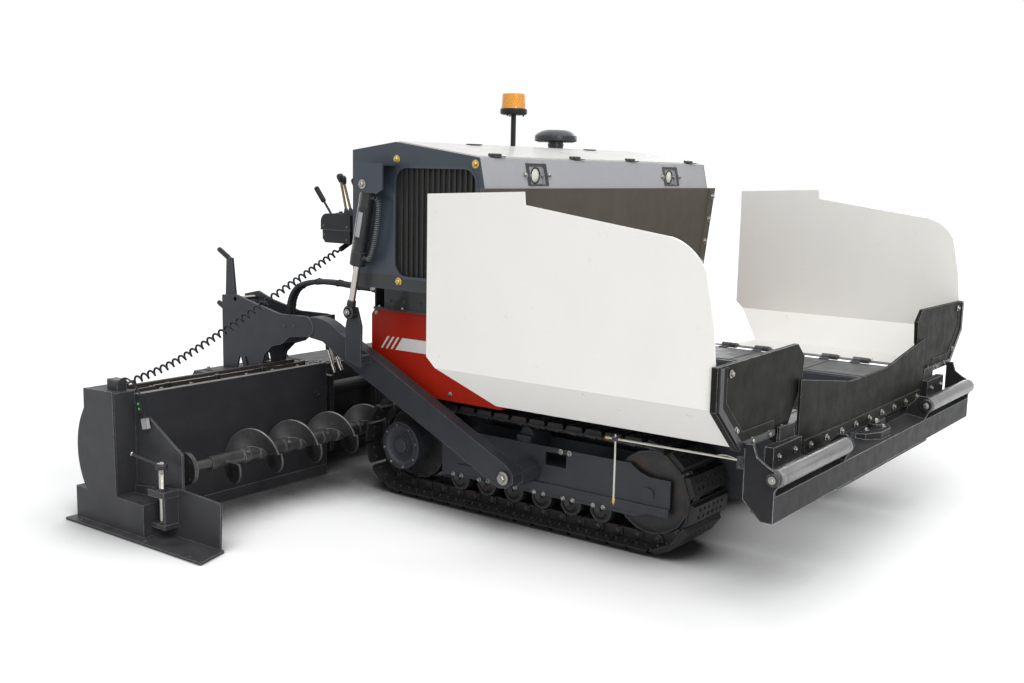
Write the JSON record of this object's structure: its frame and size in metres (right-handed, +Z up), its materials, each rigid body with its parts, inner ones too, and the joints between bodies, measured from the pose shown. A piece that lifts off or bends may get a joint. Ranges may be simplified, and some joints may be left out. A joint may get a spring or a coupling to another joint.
{
  "type": "tracked asphalt paver",
  "caption": "Tracked asphalt paver with folding hopper wings, roofed engine hood, side tow arms, augers and a sliding extension screed shown at working width",
  "frame": {"origin": "bottom centre of the bounding box, on the ground the tracks stand on", "axes": "+X is the direction of travel (hopper end), +Y is the machine's left, +Z is up"},
  "size_m": [4.0655, 4.5, 2.138],
  "materials": {
    "track_steel": "worn black steel",
    "frame_grey": "dark grey paint",
    "chassis_red": "brick red gloss paint",
    "wing_white": "warm white paint",
    "gate_olive": "dark olive-grey paint, dusty",
    "rear_wall_brown": "brown-grey paint",
    "bumper_grey": "mid-dark grey paint",
    "worn_steel": "worn bright steel",
    "hood_paint": "dark blue-grey paint",
    "grille_black": "satin black",
    "lid_white": "off-white paint",
    "engine_iron": "dark paint on iron",
    "console_black": "satin black",
    "zinc_steel": "zinc-plated steel",
    "screed_anthracite": "anthracite paint, worn edges",
    "cylinder_black": "satin black paint",
    "cable_black": "satin black jacket"
  },
  "bodies": {
    "tractor": {"apron": "gate_olive", "beacon": "console_black", "bumper": "bumper_grey", "coiled_cable": "cable_black", "conveyor": "frame_grey", "deck": "frame_grey", "engine_block": "engine_iron", "guide_rod": "zinc_steel", "hood": "hood_paint", "hopper_floor": "frame_grey", "hopper_rear_wall": "rear_wall_brown", "hose_bundle": "cable_black", "left_console": "console_black", "left_grille": "grille_black", "left_side_box": "chassis_red", "left_track": "track_steel", "left_track_frame": "frame_grey", "main_frame": "frame_grey", "pre_cleaner": "console_black", "right_console": "console_black", "right_grille": "grille_black", "right_side_box": "chassis_red", "right_track": "track_steel", "right_track_frame": "frame_grey"},
    "right_wing": {"right_wing": "wing_white", "right_wing_gate": "gate_olive"},
    "left_wing": {"left_wing": "wing_white", "left_wing_gate": "gate_olive"},
    "right_lid": {"right_lid": "lid_white"},
    "left_lid": {"left_lid": "lid_white"},
    "right_push_roller": {"right_push_roller": "worn_steel"},
    "left_push_roller": {"left_push_roller": "worn_steel"},
    "right_auger": {"right_auger": "worn_steel"},
    "left_auger": {"left_auger": "worn_steel"},
    "screed": {"screed_body": "screed_anthracite", "right_tow_arm": "screed_anthracite", "left_tow_arm": "screed_anthracite"},
    "right_extension": {"right_extension": "screed_anthracite", "right_end_gate": "screed_anthracite"},
    "left_extension": {"left_extension": "screed_anthracite", "left_end_gate": "screed_anthracite"},
    "right_lift_barrel": {"right_lift_barrel": "cylinder_black"},
    "left_lift_barrel": {"left_lift_barrel": "cylinder_black"},
    "right_lift_rod": {"right_lift_rod": "zinc_steel"},
    "left_lift_rod": {"left_lift_rod": "zinc_steel"}
  },
  "joints": [
    {"name": "right_wing_fold", "type": "hinge", "parent": "tractor", "child": "right_wing", "pos_m": [1.15, -0.965, 0.705], "axis": [-1, 0, 0], "range_deg": [0, 45]},
    {"name": "right_lid_hinge", "type": "hinge", "parent": "tractor", "child": "right_lid", "pos_m": [0.372, -0.54, 1.77381], "axis": [0, 1, 0], "range_deg": [0, 70]},
    {"name": "right_push_roller_spin", "type": "hinge", "parent": "tractor", "child": "right_push_roller", "pos_m": [1.995, -0.925, 0.58], "axis": [0, 1, 0], "continuous": true},
    {"name": "right_auger_spin", "type": "hinge", "parent": "tractor", "child": "right_auger", "pos_m": [-0.69, -0.9, 0.28], "axis": [0, 1, 0], "continuous": true},
    {"name": "right_extension_slide", "type": "slide", "parent": "screed", "child": "right_extension", "axis": [0, -1, 0], "range_m": [-0.115, 0.069], "deforming": ["coiled_cable"]},
    {"name": "right_lift_barrel_swing", "type": "hinge", "parent": "tractor", "child": "right_lift_barrel", "pos_m": [-0.245, -1.15, 1.634], "axis": [0, 1, 0], "range_deg": [-12.4, 0]},
    {"name": "right_lift_rod_slide", "type": "slide", "parent": "right_lift_barrel", "child": "right_lift_rod", "axis": [-0.2052, 0, -0.9787], "range_m": [-0.175, 0]},
    {"name": "left_wing_fold", "type": "hinge", "parent": "tractor", "child": "left_wing", "pos_m": [1.15, 0.965, 0.705], "axis": [1, 0, 0], "range_deg": [0, 45]},
    {"name": "left_lid_hinge", "type": "hinge", "parent": "tractor", "child": "left_lid", "pos_m": [0.372, 0.54, 1.77381], "axis": [0, 1, 0], "range_deg": [0, 70]},
    {"name": "left_push_roller_spin", "type": "hinge", "parent": "tractor", "child": "left_push_roller", "pos_m": [1.995, 0.925, 0.58], "axis": [0, 1, 0], "continuous": true},
    {"name": "left_auger_spin", "type": "hinge", "parent": "tractor", "child": "left_auger", "pos_m": [-0.69, 0.9, 0.28], "axis": [0, 1, 0], "continuous": true},
    {"name": "left_extension_slide", "type": "slide", "parent": "screed", "child": "left_extension", "axis": [0, 1, 0], "range_m": [-0.115, 0.069]},
    {"name": "left_lift_barrel_swing", "type": "hinge", "parent": "tractor", "child": "left_lift_barrel", "pos_m": [-0.245, 1.15, 1.634], "axis": [0, 1, 0], "range_deg": [-12.4, 0]},
    {"name": "left_lift_rod_slide", "type": "slide", "parent": "left_lift_barrel", "child": "left_lift_rod", "axis": [-0.2052, 0, -0.9787], "range_m": [-0.175, 0]},
    {"name": "screed_lift", "type": "hinge", "parent": "tractor", "child": "screed", "pos_m": [0.534, 0, 0.271], "axis": [0, 1, 0], "range_deg": [0, 10], "deforming": ["coiled_cable", "hose_bundle"]}
  ],
  "couplings": [
    {"joint": "right_lift_barrel_swing", "follows": "screed_lift", "ratio": -1.13},
    {"joint": "right_lift_rod_slide", "follows": "screed_lift", "m_per_rad": -0.945},
    {"joint": "left_lift_barrel_swing", "follows": "screed_lift", "ratio": -1.13},
    {"joint": "left_lift_rod_slide", "follows": "screed_lift", "m_per_rad": -0.945}
  ]
}
